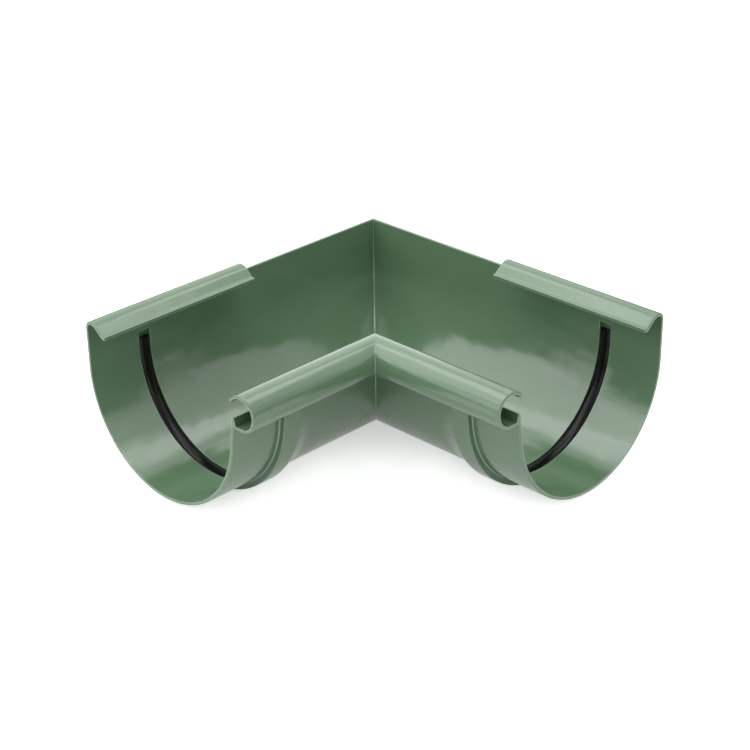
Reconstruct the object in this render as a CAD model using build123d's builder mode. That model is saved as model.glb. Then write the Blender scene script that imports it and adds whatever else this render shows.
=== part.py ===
from build123d import *
import os

# Internal corner for a half round gutter: one moulded body and two rubber seals, in millimetres.
# It is drawn with the middle lines of the two troughs crossing at the origin, one arm along +X and
# the other along -Y, and Z up. The section of an arm has the distance to the rear as x and the
# height as y, so the front bead is on the side of -x. The finished parts are moved as one to stand
# on z = 0, with the middle of their outline over the origin.

# Trough
trough_radius = 66.0     # outside of the half round
wall = 2.0               # thickness of the moulded sheet
edge_round = 0.5         # free long edges of the sheet, and edge of the housing's step
end_round = 0.7          # outer edge of the sheet, round each open end
arm_length = 181.0       # from the crossing of the troughs to each open end
rear_rise = 25.0         # plain rear wall, above the middle of the half round
front_rise = 12.3        # fold at the top of the front wall, above the middle of the half round
front_lean = 7.0         # degrees that the front wall leans outward

# Bead along the front edge
bead_radius = 11.5       # outside of the tube
bead_wrap = 240.0        # degrees of the tube, from its floor round to the edge of its lip
fold_depth = 5.0         # from the fold down to the floor of the bead
fold_gap = 1.4           # from the fold out to the foot of the turned back sheet
fold_bend = 1.4          # bend between the turned back sheet and the floor, at half the thickness
floor_run = 5.5          # level floor between the foot of the fold and the tube

# Lip that clips the rear edge of each gutter
lip_start = 60.0         # from the crossing of the troughs to the lip's inner end
lip_rise = 7.2           # crest of the lip above the plain rear wall
arch_radius = 5.4        # tight bend over the rear edge, outside
crest_radius = 9.0       # bend from the crest to the slope, outside
lip_slope = 41.0         # degrees that the lip falls
slope_length = 5.5       # straight part of the slope
toe_radius = 3.0         # bend from the slope to the toe, outside
toe_length = 0.8         # level toe at the end of the lip

# Housing of the seal, a ring round the outside of each arm
socket_length = 36.1     # from the open end to the ring's step
housing_wall = 1.8       # between the step and the groove
groove_width = 8.8       # along the arm
housing_lead = 1.5       # length of the ring at its full height beyond the groove
housing_height = 4.0     # of the ring above the outside of the trough
housing_taper = 12.0     # length of the slope that falls from the ring to the middle of the corner
housing_bend = 3.0       # bend between the ring and the slope
foot_bend = 22.0         # bend between the slope and the trough
housing_rear = 14.5      # top of the ring on the rear wall, above the middle of the half round
step_fillet = 0.5        # bend at the foot of the step
groove_rear_margin = 3.3     # from the ring's top down to the end of the groove, rear wall
groove_front_margin = 4.4    # from the bead's floor down to the end of the groove, front wall

# Rubber seal in the groove
seal_clearance = 0.1     # on each side of the seal, in the groove
seal_proud = 0.9         # crown of the seal above the inside of the trough
seal_shoulder = 2.4      # height of the rounded crown above the seal's straight sides
seal_rear_margin = 5.4   # empty groove above the seal, rear wall
seal_front_margin = 0.5  # empty groove above the seal, front wall

# Sizes that follow from the ones above
half = wall / 2
sheet_radius = trough_radius - half
inner_radius = trough_radius - wall
bowl_turn = 180.0 - front_lean
bead_line = bead_radius - half
step_face = arm_length - socket_length
groove_end = step_face - housing_wall
groove_start = groove_end - groove_width
flat_start = groove_start - housing_lead
taper_start = flat_start - housing_taper
foot_start = taper_start - foot_bend * housing_height / housing_taper
housing_radius = trough_radius + housing_height
groove_radius = housing_radius - wall
bead_floor = front_rise - fold_depth
groove_rear = housing_rear - groove_rear_margin
groove_front = bead_floor - groove_front_margin
seal_rear = groove_rear - seal_rear_margin
seal_front = groove_front - seal_front_margin
reach = trough_radius + bead_radius
outline_middle = (arm_length - housing_radius) / 2

mitre = Plane(origin=(0, 0, 0), z_dir=(1, 1, 0))
section = Plane.YZ.offset(-reach)
stand = Location((-outline_middle, outline_middle, housing_radius))

# Points of the section, along the middle of the sheet
front_up = Vector(0, 1).rotate(Axis.Z, front_lean)
front_foot = Vector(-sheet_radius, 0).rotate(Axis.Z, front_lean)
fold = front_foot + front_up * ((front_rise - front_foot.Y) / front_up.Y)
foot = fold - Vector(fold_gap, fold_depth)
bead_start = foot - Vector(floor_run, 0)
bead_middle = bead_start + Vector(0, bead_line)


def follow_trough(profile, rear_top, front_top, mode=Mode.ADD):
    """Carry a profile drawn at z = 0 up the rear wall, round the bowl and up the front wall."""
    front_way = Vector(0, front_up.X, front_up.Y)
    front_length = (front_top - front_foot.Y) / front_up.Y
    extrude(profile, amount=rear_top, dir=(0, 0, 1), mode=mode)
    revolve(profile, axis=Axis.X, revolution_arc=-bowl_turn, mode=mode)
    extrude(profile.rotate(Axis.X, -bowl_turn), amount=front_length, dir=front_way, mode=mode)


def round_open_end(outer_y, outer_z):
    """Round the outer edge at the open end, all along the smooth run through a point of it."""
    end_edges = edges().group_by(Axis.X)[-1]
    fillet(end_edges.sort_by_distance((arm_length, outer_y, outer_z))[0], radius=end_round)


# Section of the housing ring: x is along the arm and y is the distance from the trough's middle
with BuildSketch() as housing_profile:
    with BuildLine():
        FilletPolyline(
            (foot_start, trough_radius),
            (taper_start, trough_radius),
            (flat_start, housing_radius),
            (step_face, housing_radius),
            (step_face, trough_radius + step_fillet),
            radius=(foot_bend, housing_bend, edge_round),
        )
        RadiusArc(
            (step_face, trough_radius + step_fillet),
            (step_face + step_fillet, trough_radius),
            step_fillet,
        )
        Polyline(
            (step_face + step_fillet, trough_radius),
            (step_face + step_fillet, sheet_radius),
            (foot_start, sheet_radius),
            (foot_start, trough_radius),
        )
    make_face()

# Section of the groove, open towards the inside of the trough
with BuildSketch() as groove_profile:
    with Locations((groove_start, groove_radius)):
        Rectangle(groove_width, groove_radius - inner_radius + wall, align=(Align.MIN, Align.MAX))

# Section of the rubber seal: flat on the floor of the groove, with a rounded crown
seal_left = groove_start + seal_clearance
seal_right = groove_end - seal_clearance
crown = inner_radius - seal_proud
with BuildSketch() as seal_profile:
    with BuildLine():
        Polyline(
            (seal_left, crown + seal_shoulder),
            (seal_left, groove_radius),
            (seal_right, groove_radius),
            (seal_right, crown + seal_shoulder),
        )
        ThreePointArc(
            (seal_right, crown + seal_shoulder),
            ((seal_left + seal_right) / 2, crown),
            (seal_left, crown + seal_shoulder),
        )
    make_face()

# Bead that the sheet forms beyond the fold: turned back, a level floor, then a tube with a lip
with BuildPart() as bead:
    with BuildSketch(section):
        with BuildLine():
            FilletPolyline(fold, foot, bead_start, radius=fold_bend)
            tube = JernArc(bead_start, (-1, 0), bead_line, -bead_wrap)
        trace(line_width=wall)
        tube_edge = bead_middle + (tube @ 1 - bead_middle) * (bead_radius / bead_line)
        fillet(vertices().sort_by_distance(tube_edge)[0], radius=edge_round)
    extrude(amount=reach + arm_length)
    round_open_end(bead_middle.X, bead_middle.Y - bead_radius)

with BuildPart() as gutter_corner:
    # Trough, from the plain rear edge round to the fold
    with BuildSketch(section):
        with BuildLine():
            Line((sheet_radius, rear_rise), (sheet_radius, 0))
            CenterArc((0, 0), sheet_radius, 0, -bowl_turn)
            Line(front_foot, fold)
        trace(line_width=wall)
        fillet(vertices().group_by(Axis.Y)[-1], radius=edge_round)
    extrude(amount=reach + arm_length)

    # Lip over the rear edge
    with BuildSketch(Plane.YZ.offset(lip_start)):
        arch_line = arch_radius - half
        arch_foot = (sheet_radius, rear_rise + lip_rise - arch_radius)
        with BuildLine():
            Line((sheet_radius, 0), arch_foot)
            arch = JernArc(arch_foot, (0, 1), arch_line, 90)
            crest = JernArc(arch @ 1, arch % 1, crest_radius - half, lip_slope)
            slope = PolarLine(crest @ 1, slope_length, direction=crest % 1)
            toe = JernArc(slope @ 1, slope % 1, toe_radius + half, -lip_slope)
            toe_end = PolarLine(toe @ 1, toe_length, direction=toe % 1)
        trace(line_width=wall)
        toe_edge = toe_end @ 1 + Vector(0, half)
        fillet(vertices().sort_by_distance(toe_edge)[0], radius=edge_round)
    extrude(amount=arm_length - lip_start)
    round_open_end(0, -trough_radius)

    # Bead, and the rounded top of the fold that joins it to the trough
    add(bead.part)
    with BuildSketch(section):
        with Locations(fold):
            Circle(half)
    extrude(amount=reach + arm_length)

    # Housing of the seal and the groove inside it
    follow_trough(housing_profile.sketch, housing_rear, bead_floor + half)
    follow_trough(groove_profile.sketch, groove_rear, groove_front, mode=Mode.SUBTRACT)

    # Mitre, and the other arm as the mirror image of this one
    split(bisect_by=mitre, keep=Keep.TOP)
    mirror(about=mitre)

with BuildPart() as right_seal:
    follow_trough(seal_profile.sketch, seal_rear, seal_front)

with BuildPart() as left_seal:
    mirror(right_seal.part, about=mitre)

for piece in (gutter_corner, right_seal, left_seal):
    piece.part.move(stand)
gutter_corner.part.label = "gutter_corner"
right_seal.part.label = "right_seal"
left_seal.part.label = "left_seal"

os.makedirs("parts", exist_ok=True)
export_step(gutter_corner.part, "parts/gutter_corner.step")
export_step(right_seal.part, "parts/right_seal.step")
export_step(left_seal.part, "parts/left_seal.step")
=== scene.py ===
import math

import bpy
from mathutils import Matrix, Vector


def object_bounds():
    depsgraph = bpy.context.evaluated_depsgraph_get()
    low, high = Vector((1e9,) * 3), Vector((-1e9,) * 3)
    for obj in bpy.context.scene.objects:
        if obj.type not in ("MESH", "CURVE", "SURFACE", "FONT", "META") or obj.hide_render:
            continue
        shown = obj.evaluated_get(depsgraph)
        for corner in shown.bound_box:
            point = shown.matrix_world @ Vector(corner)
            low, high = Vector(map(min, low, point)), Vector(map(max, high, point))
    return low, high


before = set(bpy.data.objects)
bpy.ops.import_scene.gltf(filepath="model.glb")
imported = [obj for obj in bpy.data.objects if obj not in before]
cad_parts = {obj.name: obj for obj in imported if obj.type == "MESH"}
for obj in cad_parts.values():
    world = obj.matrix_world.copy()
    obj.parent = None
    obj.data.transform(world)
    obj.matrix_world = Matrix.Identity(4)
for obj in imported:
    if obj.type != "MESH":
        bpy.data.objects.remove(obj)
cad_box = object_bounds()

# Crossing of the two troughs' middle lines, in metres. The camera and the lamps are placed round it.
ARM_LENGTH = 0.181              # from the crossing to each open end
HOUSING_RADIUS = 0.0700         # from the crossing down to the floor
CROSSING = Vector(
    (
        cad_box[1].x - ARM_LENGTH,
        cad_box[0].y + ARM_LENGTH,
        cad_box[0].z + HOUSING_RADIUS,
    )
)

# Camera, as the photograph has it
AZIMUTH = 45.03                 # degrees, 0 looks along +Y and 90 along -X
ELEVATION = 26.73               # degrees above the horizon
ROLL = -0.87                    # degrees
DISTANCE = 1.2014               # metres from the camera to the crossing, along the view
FOCAL_PIXELS = 1850.0           # focal length
PICTURE_PIXELS = 750.0          # width and height of the picture
CROSSING_PIXEL = (374.47, 307.23)   # where the crossing shows, from the picture's top left corner
SENSOR = 36.0                   # millimetres, width of the picture on the sensor

# Colours, linear, with their opacity
GREEN = (0.102, 0.180, 0.102, 1.0)
GREEN_DEEP = (0.096, 0.170, 0.096, 1.0)
# paler green painted on sharp edges, as a highlight
GREEN_EDGE_HIGHLIGHT = (0.34, 0.43, 0.34, 1.0)
RUBBER = (0.003, 0.003, 0.003, 1.0)
RUBBER_WORN = (0.005, 0.005, 0.005, 1.0)
FLOOR_WHITE = (0.95, 0.95, 0.95, 1.0)

# Gloss, where a roughness has its lowest and its highest value
GREEN_ROUGHNESS = (0.13, 0.19)
GREEN_IOR = 1.6                 # index of refraction
RUBBER_ROUGHNESS = (0.15, 0.21)
RUBBER_IOR = 1.5
RUBBER_SPECULAR = 0.14          # strength of the reflections, where 0.5 is plain

# Unevenness, as noises: waves per metre, number of finer layers and strength of each next layer
GREEN_CLOUDS = (18.0, 3.0, 0.5)
GREEN_HAZE = (60.0, 4.0, 0.5)
GREEN_WAVES = (26.0, 2.5, 0.6)
GREEN_PEEL = (900.0, 2.0, 0.5)
RUBBER_CLOUDS = (120.0, 4.0, 0.5)
RUBBER_HAZE = (400.0, 3.0, 0.5)
RUBBER_GRAIN = (2500.0, 2.0, 0.5)
NOISE_MIDDLE = (0.3, 0.7)       # part of a noise that is spread over a whole range

# Heights of the unevenness that tilts the surface, in metres
WAVE_HEIGHT = 0.0007
PEEL_HEIGHT = 0.000006
GRAIN_HEIGHT = 0.00001

# Rounded edges, in metres
EDGE_RADIUS = 0.0003            # of the green plastic's edges
MITRE_RADIUS = 0.0018           # of the green plastic along the mitre
MITRE_FADE = 2 * MITRE_RADIUS   # distance from the mitre where the rounding is as elsewhere
MITRE_NORMAL = Vector((1, 1, 0)).normalized()   # the mitre's plane is x + y = 0
RUBBER_RADIUS = 0.0004          # of the seals' edges
PAINTED_HIGHLIGHT_RADIUS = 0.0008            # reach of the painted edge highlight, a paler colour, over an edge
SHARP_LIKENESS = 0.8            # of the rounded normal and the true one, where the painted edge highlight is at full strength
EDGE_SAMPLES = 6

# Floor and world
FLOOR_SIZE = 30.0
WORLD_LIGHT = 0.03              # the world's strength as a light
WORLD_SEEN = 1.0                # its strength to the camera
WORLD_IN_GLOSS = 1.0            # share of that strength that shows in reflections
OPEN_GLOW = 0.83                # added to the floor's white where it is seen, in the open
PAINTED_SHADOW_GLOW = 0.46              # the same, hard against the object, where the painted shadow is darkest
PAINTED_SHADOW_REACH = 0.05              # how far the object's painted shadow reaches in the floor's glow
OPEN_SKY = 0.24                 # share of the sky that a point of the floor sees, where the glow is full
PAINTED_SHADOW_SKY = 0.03               # the same, where the glow is least, in the painted shadow
PAINTED_SHADOW_SAMPLES = 8
GLOW_IN_GLOSS = 0.55            # share of the glow that shows in reflections

# Lamps, all at one distance from the crossing. Each has its name, then in degrees its bearing (0 is +Y,
# 90 is +X), its height above the horizon and its spread in width and in height, and its brightness.
LAMP_DISTANCE = 0.8
LAMPS = (
    ("left_light", -123, 38, 48, 46, 2.35),
    ("left_low_light", -158, 12, 24, 26, 1.15),
    ("back_light", -48, 42, 34, 36, 1.2),
    ("low_back_light", -48, 12, 28, 24, 1.3),
    ("right_light", 44, 32, 30, 52, 0.85),
    ("top_left_light", -116, 66, 40, 12, 2.3),
    ("top_right_light", 25, 64, 34, 13, 2.15),
    ("back_high_light", -6, 57, 50, 12, 0.2),
    ("left_back_light", -80, 50, 22, 18, 0.5),
    ("overhead_rear_light", -45, 75, 60, 26, 1.2),
    ("overhead_front_light", 135, 75, 60, 26, 3.6),
    ("front_light", 135, 15, 110, 24, 1.05),
    ("left_front_light", -175, 30, 40, 40, 1.05),
    ("right_front_light", 85, 30, 40, 40, 0.6),
)


def empty_tree(owner):
    """Give a new material or world a node tree with nothing in it."""
    owner.use_nodes = True
    owner.node_tree.nodes.clear()


def add_nodes(owner, *kinds):
    """Make one node of each kind in a material or world and give them back."""
    return [owner.node_tree.nodes.new(kind) for kind in kinds]


def feed(node, name, value):
    """Give a node's input, by name or number, a plain value or another node's output."""
    if isinstance(value, bpy.types.NodeSocket):
        node.id_data.links.new(value, node.inputs[name])
    else:
        node.inputs[name].default_value = value


def maths(owner, kind, operation, *values):
    """Result of a maths node of one kind and operation, with the values as its inputs."""
    (node,) = add_nodes(owner, kind)
    node.operation = operation
    for index, value in enumerate(values):
        feed(node, index, value)
    return node.outputs["Value"]


def remap(owner, value, source, target):
    """Map one range to another. A value past an end of the first stays at that end of the second."""
    (node,) = add_nodes(owner, "ShaderNodeMapRange")
    feed(node, "Value", value)
    feed(node, "From Min", source[0])
    feed(node, "From Max", source[1])
    feed(node, "To Min", target[0])
    feed(node, "To Max", target[1])
    return node.outputs["Result"]


def noise(material, scale, detail, roughness):
    """Noise in the object's own coordinates."""
    place, texture = add_nodes(material, "ShaderNodeTexCoord", "ShaderNodeTexNoise")
    feed(texture, "Vector", place.outputs["Object"])
    feed(texture, "Scale", scale)
    feed(texture, "Detail", detail)
    feed(texture, "Roughness", roughness)
    return texture.outputs["Fac"]


def spread(material, pattern, target):
    """Noise of a pattern, with its middle spread over a range."""
    return remap(material, noise(material, *pattern), NOISE_MIDDLE, target)


def two_colours(material, share, first, second):
    """Mix of two colours, where the share from 0 to 1 is that of the second."""
    (node,) = add_nodes(material, "ShaderNodeMix")
    node.data_type = "RGBA"
    feed(node, "Factor", share)
    feed(node, "A", first)
    feed(node, "B", second)
    return node.outputs["Result"]


def bump(material, height, distance, normal):
    """Tilt a normal by a relief, where a height of 1 is the distance in metres."""
    (node,) = add_nodes(material, "ShaderNodeBump")
    feed(node, "Height", height)
    feed(node, "Distance", distance)
    feed(node, "Normal", normal)
    return node.outputs["Normal"]


def soft_edges(material, radius):
    """Normal that is rounded over each sharp edge."""
    (node,) = add_nodes(material, "ShaderNodeBevel")
    node.samples = EDGE_SAMPLES
    feed(node, "Radius", radius)
    return node.outputs["Normal"]


def edge_radius(material):
    """Radius of the green plastic's edges: larger beside the mitre than elsewhere."""
    (coordinates,) = add_nodes(material, "ShaderNodeTexCoord")
    place = coordinates.outputs["Object"]
    across = maths(material, "ShaderNodeVectorMath", "DOT_PRODUCT", place, MITRE_NORMAL)
    from_mitre = maths(material, "ShaderNodeMath", "ABSOLUTE", across)
    return remap(material, from_mitre, (MITRE_RADIUS, MITRE_FADE), (MITRE_RADIUS, EDGE_RADIUS))


def painted_highlight_share(material):
    """Share of the painted edge highlight in a place: 0 on a smooth surface and 1 on a sharp edge."""
    (surface,) = add_nodes(material, "ShaderNodeNewGeometry")
    true_normal = surface.outputs["Normal"]
    rounded = soft_edges(material, PAINTED_HIGHLIGHT_RADIUS)
    likeness = maths(material, "ShaderNodeVectorMath", "DOT_PRODUCT", rounded, true_normal)
    return remap(material, likeness, (1.0, SHARP_LIKENESS), (0.0, 1.0))


def finish_material(name):
    """Material with one shader, which is joined to its output."""
    material = bpy.data.materials.new(name)
    empty_tree(material)
    shader, output = add_nodes(material, "ShaderNodeBsdfPrincipled", "ShaderNodeOutputMaterial")
    feed(output, "Surface", shader.outputs["BSDF"])
    return material, shader


def green_plastic():
    """Glossy sage green plastic, faintly uneven in colour, gloss and flatness, with a painted highlight
    of paler colour on its edges.
    """
    material, shader = finish_material("green_plastic_finish")
    clouds = spread(material, GREEN_CLOUDS, (0.0, 1.0))
    plain = two_colours(material, clouds, GREEN, GREEN_DEEP)
    # painted highlight: the colour turns paler over sharp edges
    coloured = two_colours(material, painted_highlight_share(material), plain, GREEN_EDGE_HIGHLIGHT)
    rough = spread(material, GREEN_HAZE, GREEN_ROUGHNESS)
    edges = soft_edges(material, edge_radius(material))
    waves = bump(material, noise(material, *GREEN_WAVES), WAVE_HEIGHT, edges)
    peel = bump(material, noise(material, *GREEN_PEEL), PEEL_HEIGHT, waves)
    feed(shader, "Base Color", coloured)
    feed(shader, "Roughness", rough)
    feed(shader, "Normal", peel)
    feed(shader, "IOR", GREEN_IOR)
    return material


def black_rubber():
    """Black rubber, satin, with a fine grain."""
    material, shader = finish_material("black_rubber_finish")
    clouds = spread(material, RUBBER_CLOUDS, (0.0, 1.0))
    coloured = two_colours(material, clouds, RUBBER, RUBBER_WORN)
    rough = spread(material, RUBBER_HAZE, RUBBER_ROUGHNESS)
    edges = soft_edges(material, RUBBER_RADIUS)
    grain = bump(material, noise(material, *RUBBER_GRAIN), GRAIN_HEIGHT, edges)
    feed(shader, "Base Color", coloured)
    feed(shader, "Roughness", rough)
    feed(shader, "Normal", grain)
    feed(shader, "Specular IOR Level", RUBBER_SPECULAR)
    feed(shader, "IOR", RUBBER_IOR)
    return material


def dress(piece, material):
    """Give one of the CAD pieces its finish."""
    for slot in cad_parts[piece].material_slots:
        slot.material = material


def seen_strength(owner, unseen, seen, in_gloss):
    """One strength as a light, and another where it is seen, with a share of that in reflections."""
    (path,) = add_nodes(owner, "ShaderNodeLightPath")
    mirrored = maths(owner, "ShaderNodeMath", "MULTIPLY", path.outputs["Is Glossy Ray"], in_gloss)
    direct = maths(owner, "ShaderNodeMath", "MAXIMUM", path.outputs["Is Camera Ray"], mirrored)
    either = maths(owner, "ShaderNodeMath", "MAXIMUM", direct, path.outputs["Is Transmission Ray"])
    return remap(owner, either, (0.0, 1.0), (unseen, seen))


def glow_with_painted_shadow(material):
    """Glow of the floor, with a painted shadow: weaker beside and under the object."""
    (sky,) = add_nodes(material, "ShaderNodeAmbientOcclusion")
    sky.samples = PAINTED_SHADOW_SAMPLES
    feed(sky, "Distance", PAINTED_SHADOW_REACH)
    # painted shadow: the glow drops where the object hides the floor's sky
    glow = remap(material, sky.outputs["AO"], (PAINTED_SHADOW_SKY, OPEN_SKY), (PAINTED_SHADOW_GLOW, OPEN_GLOW))
    seen = seen_strength(material, 0.0, 1.0, GLOW_IN_GLOSS)
    return maths(material, "ShaderNodeMath", "MULTIPLY", glow, seen)


def floor_finish():
    """White that keeps the object's cast shadow and glows where it is seen; the glow is weaker beside the
    object, as a painted shadow.
    """
    material = bpy.data.materials.new("floor_white")
    empty_tree(material)
    diffuse, glow, both, output = add_nodes(
        material,
        "ShaderNodeBsdfDiffuse",
        "ShaderNodeEmission",
        "ShaderNodeAddShader",
        "ShaderNodeOutputMaterial",
    )
    feed(diffuse, "Color", FLOOR_WHITE)
    feed(glow, "Strength", glow_with_painted_shadow(material))
    feed(both, 0, diffuse.outputs["BSDF"])
    feed(both, 1, glow.outputs["Emission"])
    feed(output, "Surface", both.outputs["Shader"])
    return material


def pale_floor():
    """Wide floor under the object."""
    bpy.ops.mesh.primitive_plane_add(size=FLOOR_SIZE, location=(0, 0, cad_box[0].z))
    floor = bpy.context.object
    floor.name = "studio_floor"
    floor.data.materials.append(floor_finish())


def pale_world():
    """World that shows as an even pale tone, and is only a faint light."""
    world = bpy.data.worlds.new("studio_world")
    bpy.context.scene.world = world
    empty_tree(world)
    background, output = add_nodes(world, "ShaderNodeBackground", "ShaderNodeOutputWorld")
    feed(background, "Strength", seen_strength(world, WORLD_LIGHT, WORLD_SEEN, WORLD_IN_GLOSS))
    feed(output, "Surface", background.outputs["Background"])


def lamp_length(angle):
    """Length that fills an angle, in degrees, at the lamps' distance."""
    return 2 * LAMP_DISTANCE * math.tan(math.radians(angle) / 2)


def softbox(name, bearing, height, width_angle, height_angle, brightness):
    """Rectangular lamp that faces the crossing, equally bright all over."""
    turn = math.radians(bearing)
    rise = math.radians(height)
    way = Vector((math.sin(turn) * math.cos(rise), math.cos(turn) * math.cos(rise), math.sin(rise)))
    lamp = bpy.data.lights.new(name, "AREA")
    lamp.shape = "RECTANGLE"
    lamp.size = lamp_length(width_angle)
    lamp.size_y = lamp_length(height_angle)
    lamp.energy = brightness * math.pi * lamp.size * lamp.size_y
    box = bpy.data.objects.new(name, lamp)
    bpy.context.scene.collection.objects.link(box)
    box.location = CROSSING + LAMP_DISTANCE * way
    box.rotation_euler = (-way).to_track_quat("-Z", "Y").to_euler()


def camera_axes():
    """The camera's own right, up and backward directions."""
    azimuth, elevation, roll = (math.radians(angle) for angle in (AZIMUTH, ELEVATION, ROLL))
    flat = math.cos(elevation)
    back = Vector((math.sin(azimuth) * flat, -math.cos(azimuth) * flat, math.sin(elevation)))
    level = Vector((0, 0, 1)).cross(back).normalized()
    upright = back.cross(level)
    right = math.cos(roll) * level + math.sin(roll) * upright
    up = math.cos(roll) * upright - math.sin(roll) * level
    return right, up, back


def photograph_camera():
    """Camera at the photograph's viewing angle, worked out from the crossing's place in the picture."""
    right, up, back = camera_axes()
    middle = PICTURE_PIXELS / 2
    across = DISTANCE * (CROSSING_PIXEL[0] - middle) / FOCAL_PIXELS
    above = DISTANCE * (middle - CROSSING_PIXEL[1]) / FOCAL_PIXELS
    place = CROSSING - across * right - above * up + DISTANCE * back
    data = bpy.data.cameras.new("camera")
    data.sensor_width = SENSOR
    data.lens = SENSOR * FOCAL_PIXELS / PICTURE_PIXELS
    camera = bpy.data.objects.new("camera", data)
    bpy.context.scene.collection.objects.link(camera)
    camera.matrix_world = Matrix.Translation(place) @ Matrix((right, up, back)).transposed().to_4x4()
    bpy.context.scene.camera = camera


photograph_camera()
dress("gutter_corner", green_plastic())
rubber = black_rubber()
dress("right_seal", rubber)
dress("left_seal", rubber)
pale_floor()
pale_world()
for lamp in LAMPS:
    softbox(*lamp)
bpy.context.scene.view_settings.view_transform = "Standard"
